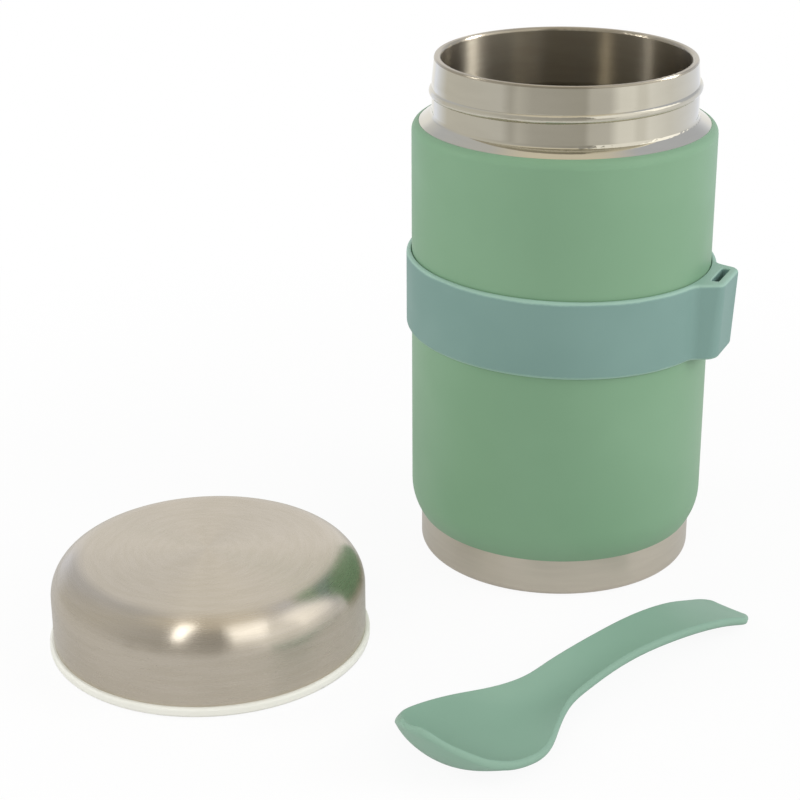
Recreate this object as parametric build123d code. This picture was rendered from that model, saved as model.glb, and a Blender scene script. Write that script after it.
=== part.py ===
from build123d import *
import os
from math import atan, cos, radians, sin, tan

# An insulated food jar, open, with its screw lid and its spoon laid beside it. Millimetres, +Z up.
# The origin is on the jar's axis, at the ring that it stands on, and -Y is the jar's front.
# An outline is a list of (radius, height, corner radius) about the axis of the piece.

# --- Steel jar ---
body_radius = 45.0        # over the paint
steel = 0.6               # wall of every drawn steel piece in the jar
paint = 0.15              # powder coat on the body
foot_height = 12.0        # bare steel below the paint
foot_radius = 42.0
taper_corner = 16.2       # height where the body's wall and its foot taper would meet
taper_round = 16.0
shoulder_slope = radians(33)
shoulder_round = 2.7
paint_top_radius = 43.1   # the paint ends on the shoulder, at this radius and height
paint_top = 136.0
neck_radius = 39.1        # round the thread
neck_lean = 148.0         # height from where the neck draws in to its rim
rim_radius = 38.4
rim_height = 155.2
rim_round = 0.45
mouth_radius = 36.4
vessel_radius = 40.0      # inside, below the neck
vessel_floor = 9.0
foot_recess = 2.4
recess_radius = 33.6
port_radius = 1.5         # hole the air is drawn out through
getter_size = (4.5, 2.2)  # radius, height
getter_round = 0.6
getter_place = 15.0       # off the axis

# --- Thread, one ridge rolled into the neck and its partner in the lid ---
thread_pitch = 4.8
thread_turns = 0.95
thread_start = 120        # degrees about Z
thread_low = 144.1        # height of the ridge's middle at its start
thread_ridge = 1.35       # radius of the rounded ridge
thread_radius = 38.6      # of the neck ridge's middle line

# --- Lid, standing on its rim beside the jar ---
lid_place = (-104.1, -63.6)
lid_radius = 45.0
lid_height = 28.3
lid_wall = 0.5
lid_corner = 11.2
dome_radius = 33.8        # where the corner's round meets the domed top
dome_rise = 1.2
rim_flange_radius = 46.2
rim_flange = 2.9          # thickness of the white rim under the steel
skirt_inside = 41.3
skirt_outside = 44.4
web_low = 19.4            # underside of the lid's web, over the gasket
web_high = 21.2
plug_radius = 35.6
plug_floor = 8.0
plug_wall = 1.8
gasket = 2.0
lid_thread_drop = 2.9     # the lid's ridge runs this far under the neck's
lid_seat = rim_height - (web_low - gasket)   # the lid's own zero, when it is screwed home

# --- Spoon band ---
band_inside = 45.15
band_outside = 46.6
band_height = 23.4
band_middle = 83.65
band_tilt = 1.5           # degrees: the holder's weight lets its side hang lower
band_round = 1.1          # outer edges
bore_round = 0.25         # inner edges
holder_turn = -24.2       # degrees about Z, from +X
holder_face = 52.9        # distance of the top of the holder's flat face from the axis
holder_sides = (-7.4, 9.9)   # edges of that face, to its right and left as seen from the axis
holder_roots = (-14.8, 13.1)  # the same sides carried in to holder_root
holder_root = 40.0
holder_corner = 3.9       # at mid height
corner_gain = 0.09        # the corners grow rounder by this much for each millimetre down
holder_flares = (5.0, 4.0)   # hollow rounds where the holder runs into the band
holder_lean = 2.6         # degrees: the face runs in towards its lower end
slot_size = (2.2, 12.4)   # radial by tangential
slot_corner = 0.6
slot_middle = (49.2, 1.15)
slot_lip = 0.5

# --- Spoon, lying on its bowl and the end of its handle ---
spoon_end = (48.45, -54.6)  # middle of the handle's end
spoon_turn = 222.1         # degrees: the way from the handle to the bowl
spoon_roll = 2.1           # degrees about its length: it leans a little on its bowl
spoon_wall = 2.6
# Each station: distance from the handle's end, half width, how far the edges stand over the middle,
# and height of the middle.
spoon_stations = [
    (1.2, 6.2, 0.1, 3.2), (3.2, 7.6, 0.15, 3.8), (8.0, 8.0, 0.3, 5.1), (15.0, 8.1, 0.4, 7.0),
    (24.0, 8.1, 0.4, 8.8), (36.0, 7.7, 0.5, 10.0), (50.0, 7.1, 0.8, 10.0), (62.0, 7.2, 1.3, 8.7),
    (70.0, 7.5, 2.2, 6.7), (77.0, 8.1, 2.8, 4.8), (83.0, 10.3, 2.9, 3.6), (89.0, 13.7, 2.8, 2.9),
    (95.0, 17.2, 2.7, 2.6), (101.0, 19.2, 2.8, 2.6), (106.5, 19.6, 3.4, 2.6),
]
# Towards the tip each also has the degrees that its section leans back, to stay square to the
# bowl's wall, and the thickness of the wall there.
tip_stations = [
    (111.8, 18.9, 4.2, 2.7, 5, 2.6), (115.3, 17.7, 4.5, 3.3, 16, 2.6), (118.1, 16.3, 4.2, 4.6, 29, 2.5),
    (120.6, 14.3, 3.6, 6.7, 40, 2.3), (123.0, 11.5, 2.7, 9.4, 48, 2.1), (125.4, 7.5, 1.3, 13.2, 53, 1.9),
    (127.2, 4.0, 0.7, 16.0, 55, 1.8),
]
handle_end_slope = 0.35    # of the spoon's middle line at its two ends
bowl_tip_slope = 1.6
handle_end_narrowing = 0.1   # how far each end's round goes sideways: 0 is square, 1 is a half disc
bowl_tip_narrowing = 0.8

through = 200.0            # length of a cutting body, more than anything it cuts


def turned(face):
    """A solid of revolution about Z from a face drawn as (radius, height)."""
    return revolve(Plane.XZ * face, Axis.Z)


def closed(outline):
    """A face inside a closed outline."""
    corners = [(radius, height) for radius, height, _ in outline]
    return make_face(FilletPolyline(*corners, radius=[rounding for *_, rounding in outline], close=True))


def open_line(outline):
    """A line through an outline's points, whose two ends take no corner radius."""
    corners = [(radius, height) for radius, height, _ in outline]
    return FilletPolyline(*corners, radius=[rounding for *_, rounding in outline[1:-1]])


def sheet(line, wall, side):
    """The section of sheet metal with one skin along the line."""
    return make_face(offset(line, amount=wall, side=side, closed=True).edges())


def shoulder_height(radius):
    """Height of the painted shoulder's slope at a radius, carried on past the paint's edge."""
    return paint_top + (paint_top_radius - radius) * tan(shoulder_slope)


def body_outline():
    """The outside of the jar from its foot seam to its rim, with paint all the way.

    The neck draws in a little above its thread.
    """
    neck = neck_radius + paint
    return [
        (foot_radius + 2 * paint, foot_height, 0),
        (body_radius, taper_corner, taper_round),
        (body_radius, shoulder_height(body_radius), shoulder_round),
        (neck, shoulder_height(neck), 1.2),
        (neck, neck_lean, 12),
        (rim_radius + paint, rim_height, 0),
    ]


def under(height, solid):
    """The part of a solid that is under a height."""
    return solid - Pos(0, 0, height + through / 2) * Cylinder(through, through)


def ridge(radius, start_height):
    """A rounded thread ridge with ball ends, its middle on a helix of the given radius."""
    helix = Helix(pitch=thread_pitch, height=thread_pitch * thread_turns, radius=radius)
    section = Plane(origin=helix @ 0, z_dir=helix % 0) * Circle(thread_ridge)
    body = sweep(section, path=helix, is_frenet=True)
    for end in (helix @ 0, helix @ 1):
        body += Pos(*end) * Sphere(thread_ridge)
    return Pos(0, 0, start_height) * Rot(0, 0, thread_start) * body


def outer_shell():
    """Body wall, shoulder and threaded neck, drawn from one tube."""
    line = open_line(body_outline())
    wall = sheet(line, paint + steel, Side.LEFT) - sheet(line, paint, Side.LEFT)
    return under(rim_height - steel, turned(wall)) + ridge(thread_radius, thread_low)


def green_coat():
    """The powder coat, from the foot seam up to its edge on the shoulder."""
    return under(paint_top, turned(sheet(open_line(body_outline()), paint, Side.LEFT)))


def inner_vessel():
    """The drawn cup that holds the food, rolled out over the shell at the rim."""
    inside = open_line([
        (0, vessel_floor, 0),
        (vessel_radius, vessel_floor, 7),
        (vessel_radius, 130.5, 6),
        (mouth_radius, 137.0, 5),
        (mouth_radius, rim_height, 0.9),
        (rim_radius, rim_height, 0),
    ])
    cup = turned(sheet(inside, steel, Side.RIGHT))
    widest_at_rim = cup.edges().filter_by(GeomType.CIRCLE).group_by(Axis.Z)[-1].sort_by(SortBy.RADIUS)[-1]
    return fillet(widest_at_rim, rim_round)


def radiation_foil():
    """Bright foil wrapped round the vessel inside the vacuum."""
    inside = vessel_radius + steel + 0.02
    foil = [(inside, 17, 0), (inside + 0.15, 17, 0), (inside + 0.15, 128, 0), (inside, 128, 0)]
    return turned(closed(foil))


def base_cup():
    """The brushed foot: a pressed cup that closes the vacuum, with a port in its recess."""
    outside = open_line([
        (foot_radius, foot_height, 0),
        (foot_radius, 0, 2.4),
        (recess_radius + 0.9, 0, 1.2),
        (recess_radius, foot_recess, 1.0),
        (0, foot_recess, 0),
    ])
    port = Pos(0, 0, foot_recess) * Cylinder(port_radius, 4 * steel)
    return turned(sheet(outside, steel, Side.RIGHT)) - port


def port_seal():
    """Braze that fills the evacuation port and stands up as a bead inside."""
    top = foot_recess + steel
    return turned(closed([
        (0, foot_recess, 0),
        (port_radius, foot_recess, 0),
        (port_radius, top, 0),
        (port_radius + 1.7, top, 0),
        (port_radius + 0.7, top + 1.0, 0.5),
        (0, top + 1.2, 0),
    ]))


def base_disc():
    """The disc set into the recess, over the port."""
    return Pos(0, 0, foot_recess - 0.25) * Cylinder(recess_radius - 1.4, 0.5)


def getter():
    """The pill that soaks up stray gas, spot-welded inside the base."""
    pill = Cylinder(*getter_size)
    pill = fillet(pill.edges().group_by(Axis.Z)[-1], getter_round)
    return Pos(getter_place, 0, foot_recess + steel + getter_size[1] / 2) * pill


def at_lid(piece):
    """Moves a piece of the lid from its own axis to where the lid stands."""
    return Pos(*lid_place, 0) * piece


def lid_cap():
    """The brushed steel cap, one drawn cup with a slightly domed top."""
    top_edge = lid_height - dome_rise
    slope = 2 * atan(dome_rise / dome_radius)   # of the dome at its edge, where the corner takes over
    side = FilletPolyline(
        (lid_radius, rim_flange),
        (lid_radius, top_edge - (lid_radius - dome_radius) * tan(slope)),
        (dome_radius, top_edge),
        radius=[lid_corner - 0.3],
    )
    dome = RadiusArc((dome_radius, top_edge), (0, lid_height), -dome_radius / sin(slope))
    line = Wire(side.edges() + dome.edges())
    return at_lid(turned(sheet(line, lid_wall, Side.LEFT)))


def lid_liner():
    """The white moulding: rim flange, threaded skirt and web."""
    body = turned(closed([
        (skirt_inside, 0, 0.6),
        (rim_flange_radius, 0, 1.1),
        (rim_flange_radius, rim_flange, 0.9),
        (skirt_outside, rim_flange, 0),
        (skirt_outside, 16, 5),
        (42.6, web_high, 0),
        (plug_radius - plug_wall, web_high, 0),
        (plug_radius - plug_wall, web_low, 0),
        (skirt_inside, web_low, 1.0),
    ]))
    thread = ridge(skirt_inside - 0.5, thread_low - lid_thread_drop - lid_seat)
    return at_lid(body + thread)


def lid_plug():
    """The hollow plug welded under the web, which sits in the jar's mouth."""
    inside = plug_radius - plug_wall
    return at_lid(turned(closed([
        (0, plug_floor, 0),
        (plug_radius, plug_floor, 2.5),
        (plug_radius, web_low, 0),
        (inside, web_low, 0),
        (inside, plug_floor + plug_wall, 1.0),
        (0, plug_floor + plug_wall, 0),
    ])))


def lid_foam():
    """Foam that fills the plug and the room under the cap."""
    inside = plug_radius - plug_wall
    return at_lid(turned(closed([
        (0, plug_floor + plug_wall, 0),
        (inside, plug_floor + plug_wall, 1.0),
        (inside, web_high, 0),
        (41.0, web_high, 0),
        (38.6, 23.6, 3),
        (33.0, 26.0, 4),
        (0, 27.2, 0),
    ])))


def lid_seal():
    """The silicone gasket round the plug, which seats on the jar's rim."""
    inside = plug_radius + 0.05
    outside = skirt_inside - 1.2
    return at_lid(turned(closed([
        (inside, web_low - gasket, 0.4),
        (outside, web_low - gasket, 0.8),
        (outside, web_low, 0),
        (inside, web_low, 0),
    ])))


def band_plan(height):
    """The band and its holder in plan, at a height from the band's middle, with no bore yet.

    The holder is towards +X.
    """
    face = holder_face + (height - band_height / 2) * tan(radians(holder_lean))
    out = (face - holder_root) / (holder_face - holder_root)
    right, left = [root + (side - root) * out for side, root in zip(holder_sides, holder_roots)]
    root_right, root_left = holder_roots
    corners = [(holder_root, root_right), (face, right), (face, left), (holder_root, root_left)]
    plan = Circle(band_outside) + make_face(Polyline(*corners, close=True))
    rounding = holder_corner - corner_gain * height
    plan = fillet([corner for corner in plan.vertices() if corner.X > face - 0.01], rounding)
    for way, flare in zip((-1, 1), holder_flares):
        roots = [corner for corner in plan.vertices() if way * corner.Y > 1 and on_band(corner)]
        plan = fillet(roots, flare)
    return plan


def on_band(corner):
    """Whether a corner of the plan is where the holder leaves the band's own circle."""
    return corner.X > 0 and abs(Vector(corner.X, corner.Y).length - band_outside) < 0.01


def level_faces(solid):
    """The flat faces at the top and the bottom of the band."""
    return [face for face in solid.faces().filter_by(GeomType.PLANE) if abs(face.normal_at().Z) > 0.9]


def openings(solid):
    """The rims of the holes in the band's top and bottom, smallest first."""
    rims = [wire for face in level_faces(solid) for wire in face.inner_wires()]
    return sorted(rims, key=lambda wire: wire.length)


def spoon_band():
    """The removable band, with a slotted holder for the spoon's handle."""
    turn = Rot(0, 0, holder_turn)
    reach = 0.6 * band_height    # the column stands out past both of the band's tilted edges
    column = loft([turn * Pos(0, 0, z) * band_plan(z) for z in (-reach, reach)], ruled=True)
    solid = column & Rot(0, band_tilt, 0) * Box(through, through, band_height)
    solid = fillet([edge for face in level_faces(solid) for edge in face.edges()], band_round)
    slot = Pos(*slot_middle) * extrude(RectangleRounded(*slot_size, slot_corner), amount=through, both=True)
    solid = solid - Cylinder(band_inside, through) - turn * slot
    solid = fillet([edge for wire in openings(solid)[:2] for edge in wire.edges()], slot_lip)
    solid = fillet([edge for wire in openings(solid)[2:] for edge in wire.edges()], bore_round)
    return Pos(0, 0, band_middle) * solid


def spoon_section(along, half_width, edge_rise, middle_height, lean=0, wall=spoon_wall, closing=0.0):
    """One cross-section: two shallow arcs a wall apart, joined by round edges.

    As it closes, from 0 to 1, its skins and edges all come to the middle of the wall.
    """
    drawn_in = closing * wall / 2
    side = half_width - drawn_in
    edge_top, edge_low = edge_rise - drawn_in, edge_rise - wall + drawn_in
    bulge = side + 0.4 * (wall - drawn_in)
    mean = edge_rise - wall / 2
    corners = [(-side, edge_top), (side, edge_top), (side, edge_low), (-side, edge_low)]
    bows = [(0, -drawn_in), (bulge, mean), (0, drawn_in - wall), (-bulge, mean)]
    arcs = [
        ThreePointArc(start, bow, end)
        for start, bow, end in zip(corners, bows, corners[1:] + corners[:1])
    ]
    forward = (cos(radians(lean)), 0, sin(radians(lean)))
    return Plane(origin=(along, 0, middle_height), x_dir=(0, 1, 0), z_dir=forward) * Face(Wire(arcs))


def round_end(station, way, slope, narrowing):
    """Sections that close the wall with a half round beyond a station, outermost last."""
    along, half_width, edge_rise, middle_height, *tilt_and_wall = station
    lean, wall = tilt_and_wall or (0, spoon_wall)
    sections = []
    for angle in (35, 65):
        step = way * wall / 2 * sin(radians(angle)) * cos(radians(lean))
        closing = 1 - cos(radians(angle))
        share = 1 - narrowing * closing
        height = middle_height + slope * step
        sections.append(spoon_section(
            along + step, half_width * share, edge_rise * share, height, lean, wall, closing
        ))
    return sections


def spoon():
    """The one-piece spoon: an arched flat handle that opens into a leaf-shaped bowl with a raised tip."""
    stations = spoon_stations + tip_stations
    handle_end = round_end(stations[0], -1, handle_end_slope, handle_end_narrowing)
    bowl_tip = round_end(stations[-1], 1, bowl_tip_slope, bowl_tip_narrowing)
    body = loft(handle_end[::-1] + [spoon_section(*station) for station in stations] + bowl_tip)
    body = Rot(spoon_roll, 0, 0) * body
    on_table = Pos(*spoon_end, -body.bounding_box().min.Z)
    return on_table * Rot(0, 0, spoon_turn) * body


pieces = [
    outer_shell, green_coat, inner_vessel, radiation_foil, base_cup, port_seal, base_disc, getter,
    lid_cap, lid_liner, lid_plug, lid_foam, lid_seal, spoon_band, spoon,
]

os.makedirs("parts", exist_ok=True)
for piece in pieces:
    export_step(piece(), f"parts/{piece.__name__}.step")
    print("wrote", piece.__name__)
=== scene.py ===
# %% [markdown]
# # An insulated food jar
# A steel jar stands open beside its own screw lid and spoon. This script dresses the exact solids of the
# jar with finishes and light. It is meant to be read from top to bottom, one step at a time, by someone
# who is learning to light and finish products in Blender.

# %% Load the solids
from math import cos, pi, radians, sin

import bmesh
import bpy
from mathutils import Matrix, Vector


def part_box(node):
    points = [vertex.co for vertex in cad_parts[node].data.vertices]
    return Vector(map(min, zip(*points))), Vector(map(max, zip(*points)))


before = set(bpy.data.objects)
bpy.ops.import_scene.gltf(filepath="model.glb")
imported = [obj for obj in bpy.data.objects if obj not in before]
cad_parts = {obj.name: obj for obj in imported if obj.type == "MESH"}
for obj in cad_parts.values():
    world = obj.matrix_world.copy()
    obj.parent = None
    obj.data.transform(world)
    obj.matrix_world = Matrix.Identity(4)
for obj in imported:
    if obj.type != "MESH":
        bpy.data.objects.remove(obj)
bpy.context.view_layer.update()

mm = 0.001
print("solids:", ", ".join(sorted(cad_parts)))

# %% [markdown]
# ## The camera
# A long lens, a little above the jar, flattens it as catalogue pictures do. A constraint could aim the
# camera, but a place and two angles are quicker to read and to change. The place is in metres in the
# jar's own frame. The camera looks along +Y and down, and it leans by a third of a degree.

# %% Camera
camera_data = bpy.data.cameras.new("camera")
camera_data.sensor_width = 36.0
camera_data.lens = 90.59
camera_data.clip_start = 0.05
camera = bpy.data.objects.new("camera", camera_data)
bpy.context.scene.collection.objects.link(camera)
look_down = radians(22.766)
camera_roll = radians(-0.32)
camera_place = Vector((-0.0488, -0.57743, 0.28915))
turn = Matrix.Rotation(pi / 2 - look_down, 4, "X") @ Matrix.Rotation(camera_roll, 4, "Z")
camera.matrix_world = Matrix.Translation(camera_place) @ turn
bpy.context.scene.camera = camera
print("camera:", camera_data.lens, "mm lens,", round(camera_place.length, 3), "m from the jar's foot")

# %% [markdown]
# ## Small helpers for node trees
# Every finish below is a tree of shader nodes. Making a node and wiring its inputs takes the same few
# lines each time, so `node` does both: a value is set on the socket and another node's output is
# linked to it. The helpers after it are the nodes that every tree here needs: arithmetic, a smooth
# step, a fade between two colours, noise, and the place of a point on its piece.

# %% The node helper
def wire(tree, socket, value):
    """Links another node's output to a socket, or sets the socket to a plain value."""
    if isinstance(value, bpy.types.NodeSocket):
        tree.links.new(value, socket)
    else:
        socket.default_value = value


def node(tree, kind, settings=None, **inputs):
    """Adds a node. Inputs are named after their sockets, with _ for a space, or i0, i1 by number."""
    made = tree.nodes.new(kind)
    for name, value in (settings or {}).items():
        setattr(made, name, value)
    for name, value in inputs.items():
        numbered = name[0] == "i" and name[1:].isdigit()
        wire(tree, made.inputs[int(name[1:]) if numbered else name.replace("_", " ")], value)
    return made


print("helpers:", wire.__name__, "and", node.__name__)

# %% Arithmetic helpers
def maths(tree, operation, *values):
    """A Math node, given back as its output."""
    inputs = {f"i{number}": value for number, value in enumerate(values)}
    return node(tree, "ShaderNodeMath", {"operation": operation}, **inputs).outputs[0]


def vector_maths(tree, operation, *values):
    """A Vector Math node, given back as its output: a vector, or a number for a length or distance."""
    inputs = {f"i{number}": value for number, value in enumerate(values)}
    made = node(tree, "ShaderNodeVectorMath", {"operation": operation}, **inputs)
    return made.outputs["Value" if operation in ("LENGTH", "DISTANCE") else "Vector"]


def between(tree, value, low, high, out_low=0.0, out_high=1.0):
    """A value brought from one range to another, smoothly and never past its ends."""
    return node(
        tree, "ShaderNodeMapRange", {"interpolation_type": "SMOOTHSTEP"},
        i0=value, i1=low, i2=high, i3=out_low, i4=out_high,
    ).outputs[0]


def noise(tree, place, scale, detail=2.0, roughness=0.5):
    """A noise texture's value, which mostly stays inside noise_range."""
    made = node(
        tree, "ShaderNodeTexNoise", Vector=place, Scale=scale, Detail=detail, Roughness=roughness
    )
    return made.outputs[0]


def on_piece(tree):
    """Object coordinates: where a point is on its piece, in metres in the jar's own frame."""
    return node(tree, "ShaderNodeTexCoord").outputs["Object"]


noise_range = (0.3, 0.7)
print("noise is stretched from", noise_range, "to 0 and 1")

# %% Colour helpers
def mixed(tree, share, first, second):
    """One colour fading into another. A Mix node has its colours in sockets 6 and 7, after other kinds."""
    made = tree.nodes.new("ShaderNodeMix")
    made.data_type = "RGBA"
    for number, value in ((0, share), (6, first), (7, second)):
        wire(tree, made.inputs[number], value)
    return made.outputs[2]


def seen(red, green, blue):
    """A colour as it is read off a screen, 0 to 255, made linear for the shader."""
    def linear(part):
        part /= 255
        return part / 12.92 if part <= 0.04045 else ((part + 0.055) / 1.055) ** 2.4
    return (linear(red), linear(green), linear(blue), 1.0)


def grey(level):
    """A neutral linear colour."""
    return (level, level, level, 1.0)


print("a mid grey on screen is", round(seen(128, 128, 128)[0], 3), "to the shader")

# %% [markdown]
# ## The studio, as steel sees it
# The object stands on white paper in a white room. What makes steel look like steel is what it
# mirrors, so the room isn't the same all round. Going round from the left there is a grey wall, the
# dark patch where the camera stands, and a bright window side on the right; behind is white. Walls and
# lamps could be built for this, or a picture of a studio could be wrapped round the scene. Two colour
# ramps read by the compass angle do it with numbers that can be changed one at a time: one for the low
# part of the room and one for the high part.

# %% Room ramps
def ramp(tree, factor, stops):
    """A colour ramp by compass angle. 0 is where the camera stands, 90 the object's right-hand side.

    A stop is an angle, a level and a warmth, which takes light from blue and a quarter as much from green.
    """
    made = node(tree, "ShaderNodeValToRGB", i0=factor)
    elements = made.color_ramp.elements
    while len(elements) < len(stops):
        elements.new(0.5)
    for element, (angle, level, warmth) in zip(elements, stops):
        element.position = angle / 360 + 0.5
        element.color = (level, level * (1 - 0.25 * warmth), level * (1 - warmth), 1.0)
    return made.outputs[0]


low_room = [
    (-180, 0.95, -0.2), (-150, 0.95, -0.2), (-125, 0.68, 0.06), (-60, 0.66, 0.02), (-51, 0.5, 0.06),
    (-44, 0.6, 0.05), (-32, 0.5, 0.06), (12, 0.46, 0.08), (17, 0.62, 0.05), (33, 0.64, 0.04),
    (42, 0.93, 0.02), (55, 0.95, 0.02), (60, 0.84, 0.03), (66, 0.84, 0.03), (72, 0.95, 0.0),
    (95, 0.84, 0.0), (125, 0.86, -0.1), (180, 0.95, -0.2),
]
high_room = [
    (-180, 0.95, 0.05), (-167, 0.92, 0.04), (-150, 0.6, -0.15), (-120, 0.64, 0.02), (-92, 0.66, 0.08),
    (-58, 0.56, 0.04), (-32, 0.48, 0.06), (18, 0.36, 0.08), (22, 1.1, 0.03), (70, 1.1, 0.02),
    (85, 0.76, 0.0), (120, 0.6, -0.2), (150, 0.58, -0.2), (167, 0.92, 0.04),
]
print("studio ramps:", len(low_room), "and", len(high_room), "stops")

# %% [markdown]
# ## Heights and the window
# A world shader gets each ray's direction as its Generated coordinate. The direction's height fades the
# low ramp into the high one, and that into one lighter colour overhead. A window with soft edges is
# added at the right. It could be a lamp, but a lamp stands somewhere, and as a part of the world the
# window is at the same angle for every piece.

# %% Window helpers
def by_height(tree, up, low, high):
    """How far a direction has climbed from one height angle to another, 0 to 1."""
    return between(tree, up, sin(radians(low)), sin(radians(high)))


def window_light(tree, compass, up, sides, heights, level):
    """A window's light, between two compass angles and two height angles."""
    side_blur, height_blur = 1, 5
    left, right = sides
    low, high = heights
    edges = (
        between(tree, compass, radians(left - side_blur), radians(left + side_blur)),
        between(tree, compass, radians(right + side_blur), radians(right - side_blur)),
        by_height(tree, up, low - height_blur, low + height_blur),
        by_height(tree, up, high + height_blur, high - height_blur),
    )
    light = edges[0]
    for factor in (*edges[1:], level):
        light = maths(tree, "MULTIPLY", light, factor)
    return light


def in_sight(tree, path):
    """1 for what the camera sees directly or through something clear, from a Light Path's outputs."""
    return maths(tree, "MAXIMUM", path["Is Camera Ray"], path["Is Transmission Ray"])


window_sides, window_heights, window_level = (76, 110), (18, 56), 0.8
window_colour = (1.0, 0.98, 0.94)
print("window:", window_sides[1] - window_sides[0], "degrees wide")

# %% [markdown]
# ## The world
# The camera sees plain white in place of the room, through clear things as well. So do the reflections
# that look behind the object, where that white backdrop is.

# %% World
low_to_high, high_to_top = (4, 24), (58, 78)
top_colour = (0.8, 0.75, 0.65, 1.0)
backdrop_edge = (0.86, 0.94)

world = bpy.data.worlds.new("studio")
bpy.context.scene.world = world
world.use_nodes = True
tree = world.node_tree
tree.nodes.clear()
way = node(tree, "ShaderNodeTexCoord").outputs["Generated"]
side, ahead, up = node(tree, "ShaderNodeSeparateXYZ", i0=way).outputs
compass = maths(tree, "ARCTAN2", side, maths(tree, "MULTIPLY", ahead, -1.0))
turn_share = maths(tree, "ADD", maths(tree, "DIVIDE", compass, 2 * pi), 0.5)
low_light = ramp(tree, turn_share, low_room)
high_light = ramp(tree, turn_share, high_room)
room = mixed(tree, by_height(tree, up, *low_to_high), low_light, high_light)
room = mixed(tree, by_height(tree, up, *high_to_top), room, top_colour)
window = window_light(tree, compass, up, window_sides, window_heights, window_level)
glow = node(tree, "ShaderNodeVectorMath", {"operation": "SCALE"}, i0=window_colour, Scale=window)
room = vector_maths(tree, "ADD", room, glow.outputs[0])
studio = node(tree, "ShaderNodeBackground", Color=room, Strength=1.0)
white = node(tree, "ShaderNodeBackground", Color=grey(1.0), Strength=1.0)
path = node(tree, "ShaderNodeLightPath").outputs
behind = maths(tree, "MULTIPLY", path["Is Glossy Ray"], between(tree, ahead, *backdrop_edge))
plainly = maths(tree, "MAXIMUM", in_sight(tree, path), behind)
either = node(tree, "ShaderNodeMixShader", i0=plainly, i1=studio.outputs[0], i2=white.outputs[0])
node(tree, "ShaderNodeOutputWorld", Surface=either.outputs[0])
print("world:", len(tree.nodes), "nodes")

# %% [markdown]
# ## Lamps
# Three soft lamps light the matt pieces from the front and both sides. They could be part of the room,
# but a lamp throws a cleaner shadow for fewer samples. They are kept out of reflections, so that no
# hard white patch sits on the steel: what the steel mirrors is the room and the strips of the next step.

# %% Lamps
def softbox(name, place, target, size, watts, glint_on=None, upright=(0.0, 0.0, 1.0)):
    """A rectangular lamp that faces a target, its second side along the upright.

    It shows in no reflection, unless it glints on one solid, and then it lights that solid alone.
    """
    data = bpy.data.lights.new(name, "AREA")
    data.shape = "RECTANGLE"
    data.size, data.size_y = size
    data.energy = watts
    lamp = bpy.data.objects.new(name, data)
    bpy.context.scene.collection.objects.link(lamp)
    back = (Vector(place) - Vector(target)).normalized()
    across = Vector(upright).cross(back).normalized()
    facing = Matrix((across, back.cross(across), back)).transposed()
    lamp.matrix_world = Matrix.Translation(place) @ facing.to_4x4()
    lamp.visible_camera = False
    lamp.visible_glossy = glint_on is not None
    if glint_on:
        receivers = bpy.data.collections.new(name + " receivers")
        receivers.objects.link(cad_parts[glint_on])
        lamp.light_linking.receiver_collection = receivers
    print(name, "at", [round(part, 3) for part in place], "m,", watts, "W")


all_pieces = (-0.05, -0.03, 0.06)
jar_middle = (0.0, 0.0, 0.08)
softbox("front softbox", (-0.4, -0.85, 0.42), all_pieces, size=(0.5, 0.4), watts=2.4)
softbox("right softbox", (0.75, -0.25, 0.45), jar_middle, size=(0.4, 0.4), watts=2.5)
softbox("left softbox", (-0.85, 0.05, 0.4), jar_middle, size=(0.4, 0.4), watts=2.6)

# %% [markdown]
# ## Glints
# Brushed steel is read by a few bright streaks. A strip lamp that stood for all of them would also put
# streaks where they don't belong, so each strip is linked to the one solid that it glints on. A strip is
# set by the compass and height angles of its two ends, as seen from what it lights. The upper ends of
# the lid's strips lean out, because a round shoulder mirrors only a leaning strip as an upright streak.

# %% Strip lamps
strip_distance = 0.8


def toward(start, compass, up, distance):
    """A place at a compass angle and a height angle from a start, with the studio's compass."""
    flat = cos(radians(up)) * distance
    step = (sin(radians(compass)) * flat, -cos(radians(compass)) * flat, sin(radians(up)) * distance)
    return start + Vector(step)


def strip(name, solid, middle, low, high, width, watts):
    """A strip lamp from its low end to its high end, which lights one solid."""
    low_end, high_end = [toward(middle, *end, strip_distance) for end in (low, high)]
    along = high_end - low_end
    softbox(name, (low_end + high_end) / 2, middle, (width, along.length), watts, solid, along)


cap_low, cap_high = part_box("lid_cap")
cap_middle = (cap_low + cap_high) / 2
mouth_middle = Vector((0.0, 0.0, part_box("inner_vessel")[1].z))
strip("lid glint", "lid_cap", cap_middle, low=(-20, 36), high=(-36, 77), width=0.1, watts=0.52)
strip("lid glow", "lid_cap", cap_middle, low=(34, 31), high=(49, 65), width=0.3, watts=0.42)
strip("vessel glint", "inner_vessel", mouth_middle, low=(100, 13), high=(100, 35), width=0.16, watts=5.0)
strip("vessel glow", "inner_vessel", mouth_middle, low=(-92, 13), high=(-92, 35), width=0.08, watts=0.9)

# %% [markdown]
# ## White paper
# The paper is a flat disc, a fifth of a millimetre under the jar's foot so that the two faces don't
# fight. A large plane would do as well, but a disc ends at the same distance on every side.

# %% Paper disc
paper_radius = 0.42
paper_middle = (-0.045, -0.05)
paper_drop = 0.2 * mm
paper_mesh = bpy.data.meshes.new("paper")
shape = bmesh.new()
bmesh.ops.create_circle(shape, cap_ends=True, segments=96, radius=paper_radius)
bmesh.ops.translate(shape, verts=shape.verts, vec=(*paper_middle, -paper_drop))
shape.to_mesh(paper_mesh)
shape.free()
paper = bpy.data.objects.new("paper", paper_mesh)
bpy.context.scene.collection.objects.link(paper)
print("paper:", paper_radius * 2, "m across")

# %% [markdown]
# ## The paper's white
# Most of the paper's white is its own light, so that it meets the white room without an edge. The rest
# is lit by the lamps, so that the object still has its soft shadow on it. That share fades out toward
# the disc's edge. Steel mirrors the paper a little darker than the camera sees it.

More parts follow.
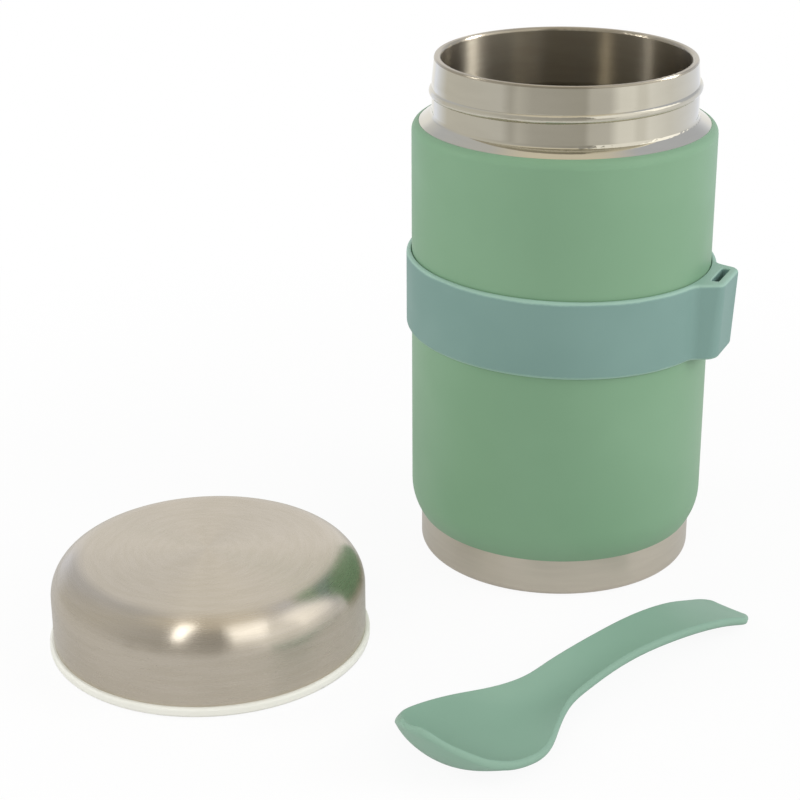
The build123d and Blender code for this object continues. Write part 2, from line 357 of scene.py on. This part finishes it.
# %% Paper finish
own_near, own_far = 0.92, 1.0
fade_from, fade_to = 0.16, 0.36
mirrored_share, mirrored_level = 0.5, 0.6

paper_finish = bpy.data.materials.new("white paper")
paper_finish.use_nodes = True
tree = paper_finish.node_tree
tree.nodes.clear()
path = node(tree, "ShaderNodeLightPath").outputs
plainly = in_sight(tree, path)
from_middle = vector_maths(tree, "DISTANCE", on_piece(tree), (*paper_middle, 0.0))
own_here = between(tree, from_middle, fade_from, fade_to, own_near, own_far)
mirrored = maths(tree, "MULTIPLY", path["Is Glossy Ray"], mirrored_share)
own_share = maths(tree, "MAXIMUM", maths(tree, "MULTIPLY", plainly, own_here), mirrored)
own_level = maths(tree, "MAXIMUM", plainly, mirrored_level)
lit = node(tree, "ShaderNodeBsdfDiffuse", Color=grey(0.8))
own = node(tree, "ShaderNodeEmission", Color=grey(1.0), Strength=own_level)
paper_surface = node(tree, "ShaderNodeMixShader", i0=own_share, i1=lit.outputs[0], i2=own.outputs[0])
node(tree, "ShaderNodeOutputMaterial", Surface=paper_surface.outputs[0])
paper_mesh.materials.append(paper_finish)
print("paper's own white:", own_near, "near the jar,", own_far, "past", fade_to, "m")

# %% [markdown]
# ## Shared effects
# Three effects are node groups, so that each is built once and a finish can place it with values of its
# own. A group gives out only masks and heights, and the shader stays in the finish. The first, `grain`,
# is the fine unevenness of a moulded or sprayed surface.

# %% Grain group
def new_group(name, inputs, outputs):
    """An empty shader group. Inputs are (name, kind, default), outputs are (name, kind)."""
    group = bpy.data.node_groups.new(name, "ShaderNodeTree")
    for label, kind, default in inputs:
        socket = group.interface.new_socket(label, in_out="INPUT", socket_type="NodeSocket" + kind)
        if default is not None:
            socket.default_value = default
    for label, kind in outputs:
        group.interface.new_socket(label, in_out="OUTPUT", socket_type="NodeSocket" + kind)
    return group, node(group, "NodeGroupInput").outputs, node(group, "NodeGroupOutput").inputs


def grain_group():
    """Fine noise as a height, and slow noise as a mask, both 0 to 1."""
    group, given, out = new_group(
        "grain",
        [("Fine", "Float", 3000.0), ("Slow", "Float", 30.0)],
        [("Height", "Float"), ("Drift", "Float")],
    )
    place = on_piece(group)
    group.links.new(noise(group, place, given["Fine"], roughness=0.6), out["Height"])
    group.links.new(between(group, noise(group, place, given["Slow"]), *noise_range), out["Drift"])
    return group


grain = grain_group()
print("group:", grain.name)

# %% [markdown]
# ## Turned lines
# A brushing wheel leaves rings on a piece that turns under it. A picture of brushed metal would show
# seams and have one fixed size. This group stretches noise along the circle round the piece's axis, so
# the rings follow the wall, whatever its slope, and break up as real ones do. A wider noise on the same
# rings marks where the wheel bit harder.

# %% Turned lines group
def turned_group():
    """Lines round an upright axis: their height, and slow bands where the wheel bit harder."""
    group, given, out = new_group(
        "turned lines",
        [("Axis", "Vector", None), ("Lines", "Float", 2600.0), ("Broken", "Float", 7.0)],
        [("Height", "Float"), ("Bands", "Float")],
    )
    from_axis = vector_maths(group, "SUBTRACT", on_piece(group), given["Axis"])
    parts = node(group, "ShaderNodeSeparateXYZ", i0=from_axis).outputs
    flat = node(group, "ShaderNodeCombineXYZ", X=parts[0], Y=parts[1]).outputs[0]
    radius = vector_maths(group, "LENGTH", flat)
    around = node(group, "ShaderNodeSeparateXYZ", i0=vector_maths(group, "NORMALIZE", flat)).outputs
    down_the_wall = maths(group, "SUBTRACT", radius, parts[2])
    line = maths(group, "MULTIPLY", down_the_wall, given["Lines"])
    turned_x = maths(group, "MULTIPLY", around[0], given["Broken"])
    turned_y = maths(group, "MULTIPLY", around[1], given["Broken"])
    place = node(group, "ShaderNodeCombineXYZ", X=line, Y=turned_x, Z=turned_y).outputs[0]
    fine = noise(group, place, 1.0, detail=4.0, roughness=0.7)
    wide = noise(group, vector_maths(group, "MULTIPLY", place, (0.12, 0.4, 0.4)), 1.0)
    group.links.new(fine, out["Height"])
    group.links.new(between(group, wide, *noise_range), out["Bands"])
    return group


turned_lines = turned_group()
print("group:", turned_lines.name)

# %% [markdown]
# ## Painted edge highlights
# The rounded edges of a soft moulding catch the light, and this group marks where that highlight is
# painted paler into the colour. An edge could be found by the Pointiness of the mesh, but that depends
# on how finely the mesh is cut. On an upright wall the edges are what faces up or down, so this group
# reads the normal's height, and noise breaks the border.

# %% Painted edge highlight group
def painted_edge_group():
    """Where the edge highlight is painted: a surface that faces up or down, with a broken border, 0 to 1.
    """
    group, given, out = new_group(
        "painted edge highlight",
        [("Start", "Float", 0.1), ("Full", "Float", 0.6), ("Patchy", "Float", 90.0)],
        [("Mask", "Float")],
    )
    normal = node(group, "ShaderNodeTexCoord").outputs["Normal"]
    level = maths(group, "ABSOLUTE", node(group, "ShaderNodeSeparateXYZ", i0=normal).outputs[2])
    patches = noise(group, on_piece(group), given["Patchy"])
    broken = maths(group, "MULTIPLY", maths(group, "SUBTRACT", patches, 0.5), 0.5)
    mask = between(group, maths(group, "ADD", level, broken), given["Start"], given["Full"])
    group.links.new(mask, out["Mask"])
    return group


painted_edge_highlight = painted_edge_group()
print("group:", painted_edge_highlight.name)

# %% [markdown]
# ## Finishes
# Each finish has a Principled shader of its own. Its colour, roughness and bump drift a little over
# the surface, because no real surface is one flat value.

# %% Material helpers
def finish(name, **values):
    """A new material with a Principled shader, its tree and the shader."""
    material = bpy.data.materials.new(name)
    material.use_nodes = True
    tree = material.node_tree
    tree.nodes.clear()
    shader = node(tree, "ShaderNodeBsdfPrincipled", **values)
    node(tree, "ShaderNodeOutputMaterial", Surface=shader.outputs[0])
    return material, tree, shader


def use(tree, group, **inputs):
    """A group placed in a tree, given back as its outputs."""
    return node(tree, "ShaderNodeGroup", {"node_tree": group}, **inputs).outputs


def bump(tree, height, strength, depth):
    """A Bump node's normal. Depth is in metres."""
    return node(tree, "ShaderNodeBump", Height=height, Strength=strength, Distance=depth).outputs[0]


moulded_bump, steel_bump = 0.5, 0.6
print("bump strength:", moulded_bump, "on mouldings,", steel_bump, "on steel")

# %% [markdown]
# ## Brushed steel: the lid and the foot
# Both are drawn cups that were brushed while they turned, so fine rings run round them. Their tangent
# runs round the axis too, and anisotropy stretches reflections across the rings into the tall soft
# streaks and the fans on the lid's top. The foot's reflections are a little softer than the lid's, and
# its steel is paler.

# %% Brushed steel
def steel(name, axis, pale, deep, roughness, lines, depth, anisotropy):
    """Steel that was brushed or polished while it turned about an upright axis."""
    material, tree, shader = finish(
        name, Metallic=1.0, Anisotropic=anisotropy, Anisotropic_Rotation=0.25
    )
    made = use(tree, turned_lines, Axis=(*axis, 0.0), Lines=lines)
    wire(tree, shader.inputs["Base Color"], mixed(tree, made["Bands"], pale, deep))
    wire(tree, shader.inputs["Roughness"], between(tree, made["Height"], *noise_range, *roughness))
    wire(tree, shader.inputs["Normal"], bump(tree, made["Height"], steel_bump, depth))
    outward = vector_maths(tree, "SUBTRACT", on_piece(tree), (*axis, 0.0))
    round_axis = vector_maths(tree, "CROSS_PRODUCT", (0.0, 0.0, 1.0), outward)
    wire(tree, shader.inputs["Tangent"], round_axis)
    print(name, "has", round(lines * mm, 1), "lines per mm")
    return material


lid_axis = (cap_middle.x, cap_middle.y)
jar_axis = (0.0, 0.0)
brushed_lid = steel(
    "brushed steel lid", lid_axis, seen(204, 195, 181), seen(200, 191, 176),
    roughness=(0.23, 0.28), lines=5200.0, depth=0.001 * mm, anisotropy=0.92,
)
brushed_foot = steel(
    "brushed steel foot", jar_axis, seen(215, 207, 193), seen(211, 203, 189),
    roughness=(0.28, 0.33), lines=5200.0, depth=0.001 * mm, anisotropy=0.85,
)

# %% [markdown]
# ## Polished neck and satin vessel
# The neck is polished nearly to a mirror: it only shows what stands around it, so its roughness is
# close to nothing. The vessel inside is left satin from drawing, and its soft streaks run up its wall.
# Both use the same function as the brushed pieces, because only the values differ.

# %% Polished and satin steel
polished_neck = steel(
    "polished steel neck", jar_axis, seen(210, 205, 190), seen(207, 202, 187),
    roughness=(0.03, 0.05), lines=2600.0, depth=0.0001 * mm, anisotropy=0.2,
)
satin_vessel = steel(
    "satin steel vessel", jar_axis, seen(176, 168, 151), seen(172, 163, 146),
    roughness=(0.28, 0.3), lines=3800.0, depth=0.0002 * mm, anisotropy=0.94,
)

# %% [markdown]
# ## The coat
# Powder coat is sprayed on dry and melts into a matt skin with a faint pebbled grain. It covers the body
# from the foot's seam to the shoulder. Its colour hardly drifts, so the grain is mostly in the bump.

# %% Powder coat
def moulded(name, pale, deep, roughness, fine, depth, painted_edge_colour=None):
    """A matt moulded or sprayed surface. Given an edge colour, its edges get a painted highlight."""
    material, tree, shader = finish(name)
    made = use(tree, grain, Fine=fine)
    colour = mixed(tree, made["Drift"], pale, deep)
    # Painted highlight: where the surface faces up or down, the colour fades to the paler edge colour.
    if painted_edge_colour:
        colour = mixed(tree, use(tree, painted_edge_highlight)["Mask"], colour, painted_edge_colour)
    wire(tree, shader.inputs["Base Color"], colour)
    wire(tree, shader.inputs["Roughness"], between(tree, made["Drift"], 0.0, 1.0, *roughness))
    wire(tree, shader.inputs["Normal"], bump(tree, made["Height"], moulded_bump, depth))
    print(name, "has a grain of", round(1 / (fine * mm), 2), "mm")
    return material


powder_coat = moulded(
    "sage powder coat", seen(122, 159, 128), seen(119, 156, 125),
    roughness=(0.42, 0.5), fine=2400.0, depth=0.012 * mm,
)

# %% [markdown]
# ## The band and the spoon
# The band is a soft moulding. It is duller and bluer than the coat, and a highlight is painted paler along
# its edges.
# The spoon is a harder moulding of a lighter green, smooth enough for a faint sheen along its edges.

# %% Band and spoon
# The band's paler edge colour is a painted highlight.
band_skin = moulded(
    "grey-green silicone", seen(118, 150, 143), seen(114, 146, 139),
    roughness=(0.5, 0.6), fine=1800.0, depth=0.01 * mm, painted_edge_colour=seen(147, 180, 166),
)
spoon_skin = moulded(
    "grey-green moulding", seen(133, 166, 148), seen(129, 162, 144),
    roughness=(0.42, 0.52), fine=1500.0, depth=0.008 * mm,
)

# %% [markdown]
# ## The lid's mouldings
# The lid's rim, web and plug are one white plastic, its gasket is cloudy silicone and its filling is
# cream foam. Only the rim shows while the lid lies on it, but the rest shows when it is lifted.

# %% White moulding, gasket and foam
white_moulding = moulded(
    "white moulding", seen(229, 229, 222), seen(225, 225, 217),
    roughness=(0.3, 0.4), fine=1200.0, depth=0.005 * mm,
)
gasket_skin = moulded(
    "clear silicone", seen(226, 226, 218), seen(218, 218, 210),
    roughness=(0.4, 0.5), fine=1500.0, depth=0.006 * mm,
)
foam_skin = moulded(
    "cream foam", seen(238, 230, 205), seen(228, 219, 192),
    roughness=(0.8, 0.9), fine=900.0, depth=0.06 * mm,
)

# %% [markdown]
# ## What the vacuum hides
# Foil, braze and getter are sealed between the walls. They still get true finishes, because the part
# may be cut open or taken apart in another scene.

# %% Foil, braze and getter
foil_skin = steel(
    "bright foil", jar_axis, seen(235, 235, 238), seen(226, 226, 230),
    roughness=(0.12, 0.22), lines=500.0, depth=0.004 * mm, anisotropy=0.2,
)
braze_skin = moulded(
    "dull braze", seen(150, 148, 142), seen(138, 136, 130),
    roughness=(0.4, 0.55), fine=900.0, depth=0.02 * mm,
)
pill_skin = moulded(
    "sintered pill", seen(92, 90, 88), seen(80, 78, 76),
    roughness=(0.6, 0.75), fine=1600.0, depth=0.03 * mm,
)

# %% [markdown]
# ## Each solid gets its finish
# The solids' shapes are exact, so they stay as they are, and only their material slots are filled. A
# table of solids and finishes is easier to check than a line for each.

# %% Put the finishes on the solids
node_finishes = {
    "outer_shell": polished_neck,
    "green_coat": powder_coat,
    "inner_vessel": satin_vessel,
    "radiation_foil": foil_skin,
    "base_cup": brushed_foot,
    "base_disc": brushed_foot,
    "port_seal": braze_skin,
    "getter": pill_skin,
    "lid_cap": brushed_lid,
    "lid_liner": white_moulding,
    "lid_plug": white_moulding,
    "lid_foam": foam_skin,
    "lid_seal": gasket_skin,
    "spoon_band": band_skin,
    "spoon": spoon_skin,
}
for name, material in node_finishes.items():
    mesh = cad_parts[name].data
    mesh.materials.clear()
    mesh.materials.append(material)
print("finished solids:", len(node_finishes), "of", len(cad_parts))

# %% [markdown]
# Standard keeps the colours as they are written.

# %% Finish
bpy.context.scene.view_settings.view_transform = "Standard"
